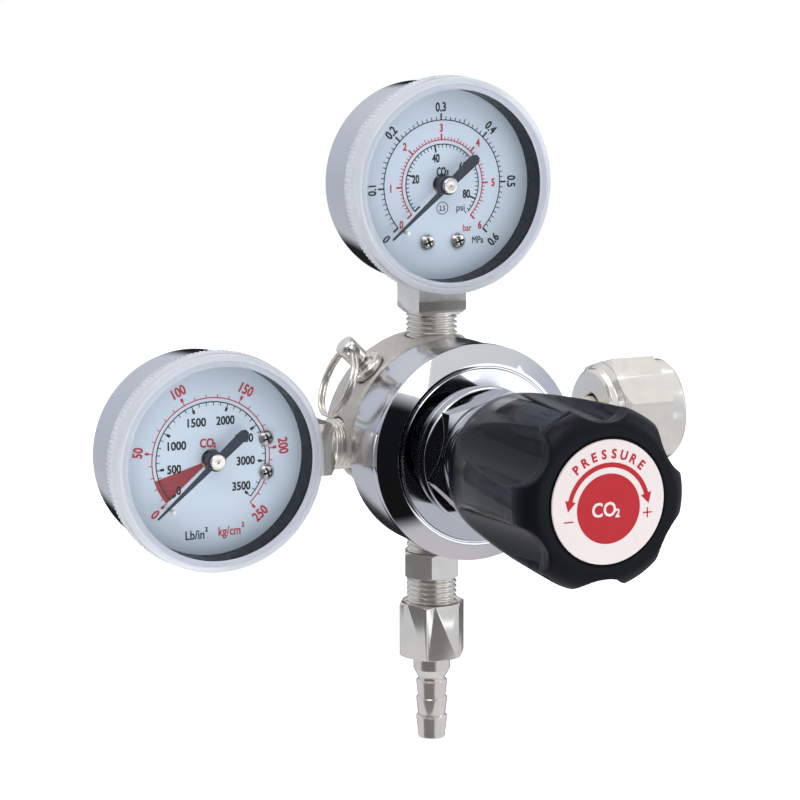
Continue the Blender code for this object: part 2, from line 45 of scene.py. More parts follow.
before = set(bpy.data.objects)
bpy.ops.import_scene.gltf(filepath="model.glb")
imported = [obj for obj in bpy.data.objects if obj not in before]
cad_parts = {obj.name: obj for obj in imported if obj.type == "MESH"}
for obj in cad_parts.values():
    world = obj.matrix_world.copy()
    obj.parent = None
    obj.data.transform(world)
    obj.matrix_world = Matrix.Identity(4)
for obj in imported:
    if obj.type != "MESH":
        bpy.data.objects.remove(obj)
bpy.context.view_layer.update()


def middle(node, axis):
    low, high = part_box(node)
    return (low[axis] + high[axis]) / 2


ORIGIN = Vector((middle("bonnet", 0), middle("low_socket", 1), middle("bonnet", 2)))


def metres(point):
    return ORIGIN + Vector(point) * MM


def ahead(node, end):
    """How far a node's front (0) or rear (1) end is in front of the gauges' plane, in millimetres."""
    return -(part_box(node)[end][1] - ORIGIN.y) / MM


# Driving sizes, from the frame
INLET_Y = (middle("inlet_nut", 1) - ORIGIN.y) / MM
LOW_CENTRE = Vector((0, 0, (middle("low_case", 2) - ORIGIN.z) / MM))
HIGH_CENTRE = Vector(((middle("high_case", 0) - ORIGIN.x) / MM, 0, 0))
DIAL_LEVEL = ahead("low_dial", 0)
POINTER_LEVEL = ahead("low_pointer", 1)

CASE_R = 25.8
RIDGES = 150
LENS_R = 27.4
THREAD_R = 6.58
THREAD_PITCH = 1.337
BARREL_R = 27.0
DOME_R = 14.9
HEX_R = 17.5
RELIEF_DEG = 135.0
RELIEF_OUT = Vector((math.cos(math.radians(RELIEF_DEG)), 0, math.sin(math.radians(RELIEF_DEG))))
RELIEF_Y = -3.5
RELIEF_HOLE = 34.8
RING_R = 8.8
RING_WIRE = 0.5
RING_LEAN = 22
RING_TWIST = -3
DIAL_ZERO = 220.5
VOXEL = 0.42

# The studio and the view: angles in degrees
FLOOR_LEVEL = -180
FLOOR_R = 1800
VIEW_AZIMUTH = -24.591
VIEW_ELEVATION = 9.461
VIEW_ROLL = -0.127
VIEW_EYE = (-288.776, -611.254, 122.121)
VIEW_LENS = 118.57


# ---------------------------------------------------------------- materials

def principled(name, rgb, roughness, metallic=0.0, **extra):
    made = bpy.data.materials.new(name)
    made.use_nodes = True
    shader = made.node_tree.nodes["Principled BSDF"]
    shader.inputs["Base Color"].default_value = (*rgb, 1)
    shader.inputs["Roughness"].default_value = roughness
    shader.inputs["Metallic"].default_value = metallic
    for key, value in extra.items():
        shader.inputs[key.replace("_", " ")].default_value = value
    return made


def node(tree, kind, **inputs):
    made = tree.nodes.new(kind)
    for key, value in inputs.items():
        made.inputs[key.replace("_", " ")].default_value = value
    return made


def noise_source(made, scale, detail=4.0):
    tree = made.node_tree
    where = tree.nodes.new("ShaderNodeTexCoord")
    noise = node(tree, "ShaderNodeTexNoise", Scale=scale, Detail=detail)
    tree.links.new(where.outputs["Object"], noise.inputs["Vector"])
    return noise


def vary_roughness(made, scale, low, high):
    noise = noise_source(made, scale)
    spread = node(made.node_tree, "ShaderNodeMapRange", From_Min=0.35, From_Max=0.65, To_Min=low,
                  To_Max=high)
    made.node_tree.links.new(noise.outputs["Fac"], spread.inputs["Value"])
    shader = made.node_tree.nodes["Principled BSDF"]
    made.node_tree.links.new(spread.outputs["Result"], shader.inputs["Roughness"])


def vary_colour(made, scale, dark, light):
    noise = noise_source(made, scale)
    ramp = made.node_tree.nodes.new("ShaderNodeValToRGB")
    ramp.color_ramp.elements[0].position = 0.35
    ramp.color_ramp.elements[0].color = (*dark, 1)
    ramp.color_ramp.elements[1].position = 0.65
    ramp.color_ramp.elements[1].color = (*light, 1)
    shader = made.node_tree.nodes["Principled BSDF"]
    made.node_tree.links.new(noise.outputs["Fac"], ramp.inputs["Fac"])
    made.node_tree.links.new(ramp.outputs["Color"], shader.inputs["Base Color"])


def add_bump(made, scale, strength, depth_mm, detail=4.0):
    noise = noise_source(made, scale, detail)
    bump = node(made.node_tree, "ShaderNodeBump", Strength=strength, Distance=depth_mm * MM)
    shader = made.node_tree.nodes["Principled BSDF"]
    made.node_tree.links.new(noise.outputs["Fac"], bump.inputs["Height"])
    made.node_tree.links.new(bump.outputs["Normal"], shader.inputs["Normal"])


def make_materials():
    made = {}

    def add(key, rgb, roughness, metallic=0.0, colour=None, rough=None, bump=None, **extra):
        """colour = (scale, dark, light), rough = (scale, low, high), bump = (scale, strength, depth)."""
        made[key] = principled(key, rgb, roughness, metallic, **extra)
        for change, values in ((vary_colour, colour), (vary_roughness, rough), (add_bump, bump)):
            if values:
                change(made[key], *values)

    add("chrome_plate", (0.66, 0.67, 0.70), 0.05, 1.0, rough=(160, 0.03, 0.075), bump=(900, 0.04, 0.02))
    add("polished_drum", (0.66, 0.67, 0.70), 0.16, 1.0, rough=(160, 0.14, 0.18), bump=(900, 0.03, 0.02))
    add("nickel_plate", (0.80, 0.765, 0.71), 0.17, 0.78,
        colour=(260, (0.775, 0.74, 0.685), (0.815, 0.78, 0.73)), rough=(420, 0.14, 0.20),
        bump=(2600, 0.05, 0.02))
    add("cast_nickel", (0.60, 0.57, 0.52), 0.42, 0.65,
        colour=(2400, (0.52, 0.49, 0.445), (0.70, 0.665, 0.61)), rough=(900, 0.36, 0.48),
        bump=(2600, 0.45, 0.07, 6.0))
    add("machined_brass", (0.70, 0.52, 0.24), 0.28, 1.0,
        colour=(300, (0.62, 0.45, 0.19), (0.76, 0.58, 0.29)), rough=(500, 0.2, 0.36))
    add("zinc_steel", (0.58, 0.59, 0.61), 0.3, 1.0, rough=(500, 0.22, 0.38))
    add("spring_wire", (0.40, 0.41, 0.43), 0.35, 1.0, rough=(600, 0.28, 0.42))
    add("sintered_bronze", (0.42, 0.30, 0.15), 0.55, 1.0,
        colour=(2200, (0.25, 0.17, 0.08), (0.50, 0.37, 0.20)), bump=(2600, 0.8, 0.15))
    add("gloss_black", (0.003, 0.0035, 0.006), 0.12, rough=(260, 0.09, 0.15), bump=(700, 0.03, 0.03),
        Specular_IOR_Level=0.18)
    add("satin_black", (0.005, 0.0055, 0.009), 0.36, rough=(420, 0.30, 0.40), bump=(3000, 0.05, 0.02),
        Specular_IOR_Level=0.14)
    # Painted dark reflection: a dull black that hardly reflects, for the ring inside each gauge case,
    # standing in for the dark crescent the chrome wall shows beside the dial
    add("case_painted_dark_reflection", (0.006, 0.007, 0.010), 0.3, rough=(500, 0.25, 0.35), Specular_IOR_Level=0.06)
    add("clear_window", (0.30, 0.33, 0.38), 0.02, Alpha=0.03, IOR=1.49)
    add("clear_edge", (0.66, 0.72, 0.84), 0.08, rough=(500, 0.05, 0.12), Alpha=0.30, IOR=1.49)
    add("clear_rim", (0.90, 0.93, 0.98), 0.2, rough=(500, 0.15, 0.26), Transmission_Weight=0.45, IOR=1.49)
    add("dial_paint", (0.74, 0.86, 0.99), 0.42, colour=(120, (0.73, 0.85, 0.985), (0.75, 0.87, 0.995)),
        bump=(2600, 0.04, 0.02))
    add("needle_paint", (0.018, 0.025, 0.045), 0.35, rough=(900, 0.3, 0.42))
    for key, rgb in (("black_ink", (0.012, 0.013, 0.016)), ("red_ink", (0.62, 0.035, 0.045)),
                     ("zone_red_ink", (0.42, 0.05, 0.06))):
        add(key, rgb, 0.5, rough=(900, 0.42, 0.55))
    add("label_white", (0.82, 0.73, 0.715), 0.38, colour=(200, (0.81, 0.72, 0.705), (0.83, 0.74, 0.725)),
        Specular_IOR_Level=0.3)
    add("label_red", (0.49, 0.012, 0.020), 0.38,
        colour=(240, (0.475, 0.011, 0.019), (0.505, 0.013, 0.022)), Specular_IOR_Level=0.3)
    add("nitrile_rubber", (0.025, 0.025, 0.026), 0.65, rough=(600, 0.58, 0.75))
    add("nylon", (0.78, 0.76, 0.68), 0.45, rough=(500, 0.4, 0.5))
    return made


# ---------------------------------------------------------------- shapes

def place(obj, start=(0, 0, 0), along=UP, spin=0.0):
    """Put the object's own Z on a line through start, and its X at spin degrees from a set side."""
    z_axis = Vector(along).normalized()
    side = UP if abs(z_axis.x) > 0.9 else RIGHT
    x_axis = (side - z_axis * side.dot(z_axis)).normalized()
    axes = Matrix((x_axis, z_axis.cross(x_axis), z_axis)).transposed().to_4x4()
    turn = Matrix.Rotation(math.radians(spin), 4, "Z")
    obj.matrix_world = Matrix.Translation(metres(start)) @ axes @ turn
    return obj


def add_object(name, data):
    obj = bpy.data.objects.new(name, data)
    bpy.context.scene.collection.objects.link(obj)
    return obj


def evaluated_mesh(obj):
    """A new mesh of the object as its modifiers, or its curve's thickness, make it."""
    bpy.context.view_layer.update()
    graph = bpy.context.evaluated_depsgraph_get()
    return bpy.data.meshes.new_from_object(obj.evaluated_get(graph), depsgraph=graph)


def shade(mesh, angle=SHARP):
    mesh.shade_smooth()
    mesh.set_sharp_from_angle(angle=angle)


def new_piece(name, shape, materials, angle=SHARP):
    """An object from a bmesh given in millimetres."""
    bmesh.ops.recalc_face_normals(shape, faces=shape.faces)
    bmesh.ops.scale(shape, vec=(MM, MM, MM), verts=shape.verts)
    mesh = bpy.data.meshes.new(name)
    shape.to_mesh(mesh)
    shape.free()
    for material in materials:
        mesh.materials.append(material)
    shade(mesh, angle)
    return add_object(name, mesh)


def soften(outline, radius, closed=False, segments=4):
    """Round an outline's corners. A point is (height, radius) or (height, radius, corner radius)."""
    points = []
    count = len(outline)
    for i, point in enumerate(outline):
        here = Vector(point[:2])
        wanted = point[2] if len(point) > 2 else radius
        if wanted == 0 or (not closed and i in (0, count - 1)):
            points.append(tuple(here))
            continue
        before = Vector(outline[i - 1][:2])
        after = Vector(outline[(i + 1) % count][:2])
        back, on = before - here, after - here
        room = min(back.length, on.length) * 0.45
        angle = back.angle(on)
        if angle > math.radians(170):
            points.append(tuple(here))
            continue
        reach = min(wanted / math.tan(angle / 2), room)
        start, end = here + back.normalized() * reach, here + on.normalized() * reach
        for step in range(segments + 1):
            t = step / segments
            curve = start * (1 - t) ** 2 + here * 2 * t * (1 - t) + end * t * t
            points.append(tuple(curve))
    return points


def vert_ring(shape, height, radius, steps):
    """Vertices round Z at a height. radius is a number, or a function of the angle."""
    ring = []
    for i in range(steps):
        angle = 2 * math.pi * i / steps
        r = radius(angle) if callable(radius) else radius
        ring.append(shape.verts.new((r * math.cos(angle), r * math.sin(angle), height)))
    return ring


def join_rings(shape, rings, steps, closed=False):
    """Faces between each ring and the next; a ring may be a single point."""
    pairs = list(zip(rings, rings[1:]))
    if closed:
        pairs.append((rings[-1], rings[0]))
    for upper, lower in pairs:
        for i in range(steps):
            j = (i + 1) % steps
            corners = []
            for ring, k in ((upper, i), (lower, i), (lower, j), (upper, j)):
                vert = ring[k % len(ring)]
                if vert not in corners:
                    corners.append(vert)
            if len(corners) > 2:
                shape.faces.new(corners)


def extrude_outline(shape, outline, low, high):
    """A flat outline as a solid between two heights."""
    back = [shape.verts.new((u, v, low)) for u, v in outline]
    front = [shape.verts.new((u, v, high)) for u, v in outline]
    shape.faces.new(front)
    shape.faces.new(list(reversed(back)))
    for i in range(len(outline)):
        j = (i + 1) % len(outline)
        shape.faces.new((back[i], back[j], front[j], front[i]))


def revolve(shape, outline, steps=96, closed=False, wave=None):
    """Turn an outline of (height, radius) about Z. wave(angle, height, radius) may change a radius."""
    rings = []
    for height, radius in outline:
        if radius < 1e-6:
            rings.append([shape.verts.new((0, 0, height))])
        elif wave:
            rings.append(vert_ring(shape, height, lambda angle: wave(angle, height, radius), steps))
        else:
            rings.append(vert_ring(shape, height, radius, steps))
    join_rings(shape, rings, steps, closed)


def turned(name, outline, materials, start=(0, 0, 0), along=FRONT, round_by=0.15, steps=96, closed=False,
           spin=0.0, wave=None):
    shape = bmesh.new()
    revolve(shape, soften(outline, round_by, closed), steps, closed, wave)
    return place(new_piece(name, shape, materials), start, along, spin)


def bevel_edges(obj, width, segments=2, angle=30):
    bevel = obj.modifiers.new("Edge", "BEVEL")
    bevel.width = width * MM
    bevel.segments = segments
    bevel.limit_method = "ANGLE"
    bevel.angle_limit = math.radians(angle)
    bevel.harden_normals = True
    bevel.use_clamp_overlap = True
    return obj


def apply_modifiers(obj):
    mesh = evaluated_mesh(obj)
    old = obj.data
    obj.modifiers.clear()
    obj.data = mesh
    bpy.data.meshes.remove(old)
    return obj


def combine(obj, other, operation):
    """Join, cut or intersect with another piece, which is used up."""
    step = obj.modifiers.new("Combine", "BOOLEAN")
    step.operation = operation
    step.solver = "EXACT"
    step.material_mode = "TRANSFER" if other.data.materials else "INDEX"
    step.object = other
    apply_modifiers(obj)
    bpy.data.objects.remove(other)
    return obj


def hexagon(name, across, low, high, materials, start=(0, 0, 0), along=FRONT, spin=0.0,
            chamfer=(30, 30), face_r=0.9, bore=0.0):
    """A hexagonal bar whose corners are turned off at each end, with crescents on its flats."""
    corner = across / 2 / math.cos(math.radians(30))
    bar = turned(name, [(high, 0), (high, corner), (low, corner), (low, 0)], materials, start, along, 0, 6,
                 spin=spin)
    face = corner * face_r
    top = (corner + 0.5 - face) * math.tan(math.radians(chamfer[0]))
    base = (corner + 0.5 - face) * math.tan(math.radians(chamfer[1]))
    upper_end = [(high, 0), (high, face), (high - top, corner + 0.5)]
    lower_end = [(low + base, corner + 0.5), (low, face), (low, 0)]
    if not chamfer[1]:
        lower_end = [(low + 1, corner + 0.5), (low - 1, corner + 0.5), (low - 1, 0)]
    outline = upper_end + lower_end
    combine(bar, turned("cone", outline, [], start, along, 0, 96), "INTERSECT")
    if bore:
        through = [(high + 2, 0), (high + 2, bore), (low - 2, bore), (low - 2, 0)]
        combine(bar, turned("hole", through, [], start, along, 0, 64), "DIFFERENCE")
    shade(bar.data)
    return bevel_edges(bar, 0.12)


def thread(name, radius, pitch, low, high, materials, start=(0, 0, 0), along=FRONT, depth=None, inside=False,
           bore=0.0):
    """A screw thread as one closed helicoidal tube wall: flanks at 55 degrees with rounded crests."""
    depth = depth or pitch * 0.58
    rows_per_pitch, steps, runout = 10, 72, 0.8
    rows = max(4, int((high - low) / pitch * rows_per_pitch))
    shape = bmesh.new()

    def flank(angle, height):
        phase = (height / pitch + angle / (2 * math.pi)) % 1.0
        lift = 0.5 + 0.5 * max(-1.0, min(1.0, 1.35 * math.cos(2 * math.pi * phase)))
        fade = min(1.0, (height - low) / runout, (high - height) / runout)
        groove = depth * (1 - lift * max(0.0, fade))
        return radius + groove - depth if inside else radius - groove

    rings = []
    for k in range(rows + 1):
        height = high - (high - low) * k / rows
        rings.append(vert_ring(shape, height, lambda angle: flank(angle, height), steps))
    if bore:
        rings += [vert_ring(shape, height, bore, steps) for height in (low, high)]
    join_rings(shape, rings, steps, closed=bool(bore))
    if not bore:
        shape.faces.new(rings[0])
        shape.faces.new(list(reversed(rings[-1])))
    return place(new_piece(name, shape, materials, math.radians(60)), start, along)


def tube(name, points, radius, material):
    """A round wire along points, with flat ends."""
    curve = bpy.data.curves.new(name, "CURVE")
    curve.dimensions = "3D"
    spline = curve.splines.new("POLY")
    spline.points.add(len(points) - 1)
    for control, point in zip(spline.points, points):
        control.co = (*metres(point), 1)
    curve.bevel_depth = radius * MM
    curve.bevel_resolution = 5
    curve.use_fill_caps = True
    draft = add_object(name, curve)
    mesh = evaluated_mesh(draft)
    bpy.data.objects.remove(draft)
    shape = bmesh.new()
    shape.from_mesh(mesh)
    bmesh.ops.remove_doubles(shape, verts=shape.verts, dist=1e-7)
    shape.to_mesh(mesh)
    shape.free()
    mesh.materials.clear()
    mesh.materials.append(material)
    shade(mesh, math.radians(60))
    return add_object(name, mesh)


def merge(name, pieces):
    """Several pieces as one object, shapes and materials kept."""
    shape = bmesh.new()
    materials = []
    for piece in pieces:
        apply_modifiers(piece)
        mesh = piece.data
        mesh.transform(piece.matrix_world)
        index = []
        for material in mesh.materials:
            if material not in materials:
                materials.append(material)
            index.append(materials.index(material))
        start = len(shape.faces)
        shape.from_mesh(mesh)
        shape.faces.ensure_lookup_table()
        for face in shape.faces[start:]:
            face.material_index = index[face.material_index] if index else 0
        bpy.data.objects.remove(piece)
    mesh = bpy.data.meshes.new(name)
    shape.to_mesh(mesh)
    shape.free()
    for material in materials:
        mesh.materials.append(material)
    return add_object(name, mesh)


def finish_piece(obj, body, slot, *nodes):
    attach(obj, body)
    if nodes:
        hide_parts(*nodes)
    return obj


# ---------------------------------------------------------------- printing

class Print:
    """Flat printing of one ink, as thin solids in a dial's plane: u to the right, v up."""

    THICKNESS = 0.03

    def __init__(self, name, ink):
        self.name = name
        self.ink = ink
        self.shape = bmesh.new()

    def prism(self, points):
        extrude_outline(self.shape, points, -self.THICKNESS, self.THICKNESS)

    def tick(self, angle, inner, outer, width):
        angle = math.radians(angle)
        out = Vector((math.cos(angle), math.sin(angle)))
        side = Vector((-out.y, out.x)) * width / 2
        self.prism([out * inner - side, out * outer - side, out * outer + side, out * inner + side])

    def band(self, inner, outer, start, end, steps, centre=(0, 0)):
        """Part of a ring, in short pieces that share their ends; start and end in degrees."""
        rims = []
        for k in range(steps + 1):
            angle = math.radians(start + (end - start) * k / steps)
            out = Vector((math.cos(angle), math.sin(angle)))
            ring = []
            for r, level in ((inner, -1), (outer, -1), (outer, 1), (inner, 1)):
                point = Vector(centre) + out * r
                ring.append(self.shape.verts.new((point.x, point.y, level * self.THICKNESS)))
            rims.append(ring)
        for one, two in zip(rims, rims[1:]):
            for i in range(4):
                j = (i + 1) % 4
                self.shape.faces.new((one[i], two[i], two[j], one[j]))
        if abs(end - start) == 360:
            bmesh.ops.remove_doubles(self.shape, verts=rims[0] + rims[-1], dist=1e-5)
        else:
            self.shape.faces.new(list(reversed(rims[0])))
            self.shape.faces.new(rims[-1])

    def fan(self, radius, start, end, centre=(0, 0), steps=None, hole=0.0):
        steps = steps or max(3, int(abs(end - start) / 3))
        points = []
        for k in range(steps + (0 if abs(end - start) >= 360 else 1)):
            angle = math.radians(start + (end - start) * k / steps)
            points.append(Vector(centre) + Vector((math.cos(angle), math.sin(angle))) * radius)
        if hole:
            for end_point in (points[-1], points[0]):
                points.append(Vector(centre) + (end_point - Vector(centre)).normalized() * hole)
        elif abs(end - start) < 360:
            points.append(Vector(centre))
        self.prism(points)

    def text(self, words, height, u, v, turn=0.0, width=0.0, squeeze=0.78, bold=0.07):
        """Centred words; height is a capital's or a figure's, and width the whole line's, in millimetres.

        Strokes are made bolder by laying the letters down four times, each a little to one side.
        """
        curve = bpy.data.curves.new("words", "FONT")
        curve.body = words
        curve.align_x = "CENTER"
        curve.size = height / FONT_CAP
        curve.extrude = self.THICKNESS
        curve.resolution_u = 3
        draft = add_object("words", curve)
        mesh = evaluated_mesh(draft)
        bpy.data.objects.remove(draft)
        spin = Matrix.Rotation(math.radians(turn), 4, "Z")
        if width:
            ends = [vert.co.x for vert in mesh.vertices]
            squeeze = (width - 2 * bold) / (max(ends) - min(ends))
        mesh.transform(spin @ Matrix.Diagonal((squeeze, 1, 1, 1)) @ Matrix.Translation((0, -height / 2, 0)))
        for layer, (du, dv) in enumerate(((-bold, -bold), (bold, -bold), (-bold, bold), (bold, bold))):
            copy = mesh.copy()
            copy.transform(Matrix.Translation((u + du, v + dv, 0.0015 * layer)))
            self.shape.from_mesh(copy)
            bpy.data.meshes.remove(copy)
        bpy.data.meshes.remove(mesh)

    def place(self, centre, level, body, slot):
        start = Vector(centre) + FRONT * level
        obj = place(new_piece(self.name, self.shape, [self.ink], math.radians(20)), start, FRONT)
        return finish_piece(obj, body, slot)


def around(radius, angle):
    angle = math.radians(angle)
    return radius * math.cos(angle), radius * math.sin(angle)


def low_angle(megapascals):
    """Where a pressure stands on the low dial; its first division is shorter than the others."""
    return min(DIAL_ZERO, 227.6 - 454.8 * megapascals)


def high_angle(kilograms):
    return min(DIAL_ZERO, 226.0 - 1.1 * kilograms)


def scale(ink, radius, law, last, step, every, direction, lengths, widths=(0.22, 0.22, 0.45)):
    """An arc with ticks. every = (steps to a middle tick, steps to a main tick)."""
    line = 0.26
    ink.band(radius - line / 2, radius + line / 2, DIAL_ZERO, law(last), 90)
    for k in range(int(round(last / step)) + 1):
        angle = law(k * step) if k else DIAL_ZERO
        if k and angle > DIAL_ZERO - 2:
            continue
        rank = 2 if k % every[1] == 0 else 1 if k % every[0] == 0 else 0
        ends = sorted((radius, radius + direction * lengths[rank]))
        ink.tick(angle, ends[0], ends[1], widths[rank])


def round_the_dial(ink, words, height, radius, angle):
    """A number that follows the scale: its top is outward, except round the dial's foot."""
    u, v = around(radius, angle)
    ink.text(words, height, u, v, angle - 90 if -20 < angle < 200 else angle + 90)


def low_dial_print():
    black = Print("low_dial_black_print", MATERIAL["black_ink"])
    red = Print("low_dial_red_print", MATERIAL["red_ink"])
    per_bar, per_psi = 0.1, 0.0068948
    scale(black, 16.3, low_angle, 0.6, 0.01, (5, 10), 1, (0.9, 1.3, 1.7))
    scale(red, 11.3, lambda bar: low_angle(bar * per_bar), 6, 0.1, (5, 10), 1, (0.75, 1.1, 1.6))
    scale(black, 10.2, lambda psi: low_angle(psi * per_psi), 87, 2, (5, 10), -1, (0.85, 0.85, 1.9))
    for k in range(7):
        angle = low_angle(k / 10)
        ends = k in (0, 6)
        round_the_dial(black, "0" if k == 0 else f"0.{k}", 2.35, 20.5 if ends else 19.7, angle)
        u, v = around(15.1 if ends else 14.4, angle)
        red.text(str(k), 2.0, u, v)
    for words, u, v in (("20", -7.5, 1.6), ("40", -1.8, 6.75), ("60", 5.76, 4.45), ("80", 6.8, -2.6)):
        black.text(words, 2.2, u, v, squeeze=0.68)
    black.text("CO", 2.3, -0.3, 3.3, width=2.6)
    black.text("2", 1.1, 1.45, 3.0)
    black.band(1.46, 1.64, 0, 360, 40, (0, -6.05))
    black.text("2.5", 1.35, 0, -6.05, bold=0.02)
    black.text("psi", 1.8, 5.15, -6.0, width=2.3, bold=0.02)
    red.text("bar", 1.8, 7.0, -11.3, width=2.4, bold=0.02)
    black.text("MPa", 1.85, 10.0, -14.5, width=3.2, bold=0.02)
    return black, red


def high_dial_print():
    black = Print("high_dial_black_print", MATERIAL["black_ink"])
    red = Print("high_dial_red_print", MATERIAL["red_ink"])
    zone = Print("high_dial_red_zone", MATERIAL["zone_red_ink"])
    zone.THICKNESS = 0.015
    zone.fan(15.5, DIAL_ZERO, 196.4, hole=2.7)
    psi = 1 / 14.22
    red_arc, black_arc, thin, block = 15.55, 14.5, 1.0, 2.0
    scale(red, red_arc, high_angle, 250, 10, (5, 5), 1, (0.9, 0.9, thin), (0.2, 0.2, 0.22))
    for value in range(0, 251, 50):
        angle = high_angle(value)
        red.tick(angle, red_arc + thin, red_arc + block, 0.65)
        round_the_dial(red, str(value), 2.6, 19.5, angle)
    scale(black, black_arc, lambda value: high_angle(value * psi), 3500, 100, (5, 5), -1, (0.9, 0.9, thin),
          (0.2, 0.2, 0.22))
    for value in range(0, 3501, 500):
        black.tick(high_angle(value * psi), black_arc - block, black_arc - thin, 0.65)
    spots = ((-8.7, -7.1), (-9.8, -1.7), (-9.2, 4.15), (-3.9, 9.6), (3.9, 9.65), (8.8, 4.75), (9.15, -0.95),
             (7.9, -7.3))
    for i, (u, v) in enumerate(spots):
        words = str(i * 500)
        black.text(words, 2.2, u, v, width=1.22 * len(words))
    red.text("CO", 2.3, -1.1, 4.3)
    red.text("2", 1.2, 0.95, 3.6)
    black.text("Lb/in", 2.4, -4.6, -18.7, width=5.0, bold=0.04)
    black.text("2", 1.2, -1.5, -17.6)
    red.text("kg/cm", 2.4, 4.6, -18.4, width=5.9, bold=0.04)
    red.text("2", 1.2, 8.2, -17.2)
    return zone, black, red


# ---------------------------------------------------------------- gauges

def serration(count, depth, low, high):
    """A knurled band: ridges along the axis between two heights, fading at its ends."""
    def wave(angle, height, radius):
        if radius < LENS_R - 0.5 or not low <= height <= high:
            return radius
        fade = min(1.0, (height - low) / 0.5, (high - height) / 0.5)
        return radius + depth * fade * (0.5 + 0.5 * math.cos(count * angle))
    return wave


def phillips_screw(name, spot, cad_node):
    """A pan-head screw with a worn cross recess, whose walls are satin black: painted shade in the recess."""
    head = [(7.95, 0), (7.9, 0.8), (7.55, 1.55), (7.0, 2.05), (6.6, 2.1), (6.6, 1.2, 0), (4.0, 1.2), (4.0, 0)]
    screw = turned(name, head, [MATERIAL["nickel_plate"]], spot, FRONT, 0.12, 48)
    for turn in (20, 110):
        shape = bmesh.new()
        bmesh.ops.create_cube(shape, size=1.0)
        bmesh.ops.scale(shape, vec=(2.5, 0.55, 1.8), verts=shape.verts)
        bmesh.ops.translate(shape, vec=(0, 0, 7.9), verts=shape.verts)
        # The cutter's satin black passes to the recess walls it cuts: painted shade in the cross recess
        blade = place(new_piece("slot", shape, [MATERIAL["satin_black"]]), spot, FRONT, turn)
        combine(screw, blade, "DIFFERENCE")
    shade(screw.data)
    finish_piece(bevel_edges(screw, 0.05, 2, 40), "body", "nickel", cad_node)


def gauge_case(tag, centre, port):
    cup = [
        (-9.8, 0), (-9.8, 24.2, 1.2), (13.0, 24.7), (13.2, 25.2, 0.2), (13.0, CASE_R, 0.2),
        (-8.8, CASE_R, 0.8), (-10.5, 25.0, 1.0), (-11.0, 23.4, 0.8), (-11.0, 0),
    ]
    case = turned(f"{tag}_gauge_case", cup, [MATERIAL["chrome_plate"]], centre, FRONT, 0.2, 144)
    hole = turned("hole", [(30, 0), (30, 5.4), (20, 5.4), (20, 0)], [], centre, port, 0, 48)
    combine(case, hole, "DIFFERENCE")
    shade(case.data)
    finish_piece(case, "body", "chrome", f"{tag}_case")
    # A black ring on the case's inner wall between dial and cover: painted dark reflection and shade,
    # standing in for the dark crescent the chrome wall shows beside the dial
    dark_ring_outline = [(12.9, 24.35), (12.9, 24.75), (6.45, 24.7), (6.45, 24.35)]
    lining = turned(f"{tag}_case_painted_dark_ring", dark_ring_outline, [MATERIAL["case_painted_dark_reflection"]], centre, FRONT, 0.05, 144,
                    closed=True)
    finish_piece(lining, "body", "black_plastic")


def gauge_cover(tag, centre):
    """The clear snap-on cover: a window, a polished edge round it, and a knurled rim."""
    cover = [
        (14.85, 0), (14.85, 24.2, 0.3), (14.55, 24.5, 0.1), (14.4, 25.5, 0.1), (14.15, 25.8, 0.1),
        (14.1, 26.3, 0.2), (13.6, LENS_R - 0.25, 0.3), (13.3, LENS_R, 0), (10.0, LENS_R, 0),
        (7.2, LENS_R, 0), (7.0, LENS_R - 0.3, 0), (7.0, 26.1, 0.1), (13.5, 26.1, 0.2), (13.5, 24.4, 0.3),
        (13.9, 23.4, 0.3), (13.9, 0),
    ]
    shape = bmesh.new()
    revolve(shape, cover_outline(cover), 6 * RIDGES, wave=serration(RIDGES, 0.32, 6.9, 10.4))
    looks = [MATERIAL[look] for look in ("clear_rim", "clear_window", "clear_edge")]
    rim, window, edge = range(3)
    lens = place(new_piece(f"{tag}_lens_cover", shape, looks), centre, FRONT)
    for face in lens.data.polygons:
        out = math.hypot(face.center.x, face.center.y) / MM
        on_edge = out < 25.7 and face.center.z > 13.6 * MM
        face.material_index = window if out < 24.3 else edge if on_edge else rim
    finish_piece(lens, "body", "clear_plastic", f"{tag}_lens")


def gauge(tag, centre, port, screws, prints):
    gauge_case(tag, centre, port)
    gauge_cover(tag, centre)
    dial = turned(f"{tag}_dial_plate", [(DIAL_LEVEL, 2.6), (DIAL_LEVEL, 24.3), (5.9, 24.3), (5.9, 2.6)],
                  [MATERIAL["dial_paint"]], centre, FRONT, 0.06, 120, closed=True)
    finish_piece(dial, "body", "dial_paint", f"{tag}_dial")
    for layer, ink in enumerate(prints):
        ink.place(centre, DIAL_LEVEL + 0.02 + 0.012 * layer, "body", "dial_paint")
    for i, (u, v) in enumerate(screws):
        spot = Vector(centre) + Vector((u, 0, v))
        phillips_screw(f"{tag}_dial_screw_head_{i + 1}", spot, f"{tag}_dial_screw_{i + 1}")
    pointer(tag, centre)
    gauge_socket(tag, centre, port)


def cover_outline(cover):
    """The cover's outline with more rows down its knurled band, so that the ridges can fade."""
    points = soften(cover, 0.15)
    dense = []
    for one, two in zip(points, points[1:]):
        dense.append(one)
        if one[1] > LENS_R - 0.4 and two[1] > LENS_R - 0.4 and one[0] - two[0] > 1:
            dense += [(one[0] + (two[0] - one[0]) * k / 6, one[1]) for k in range(1, 6)]
    return dense + [points[-1]]


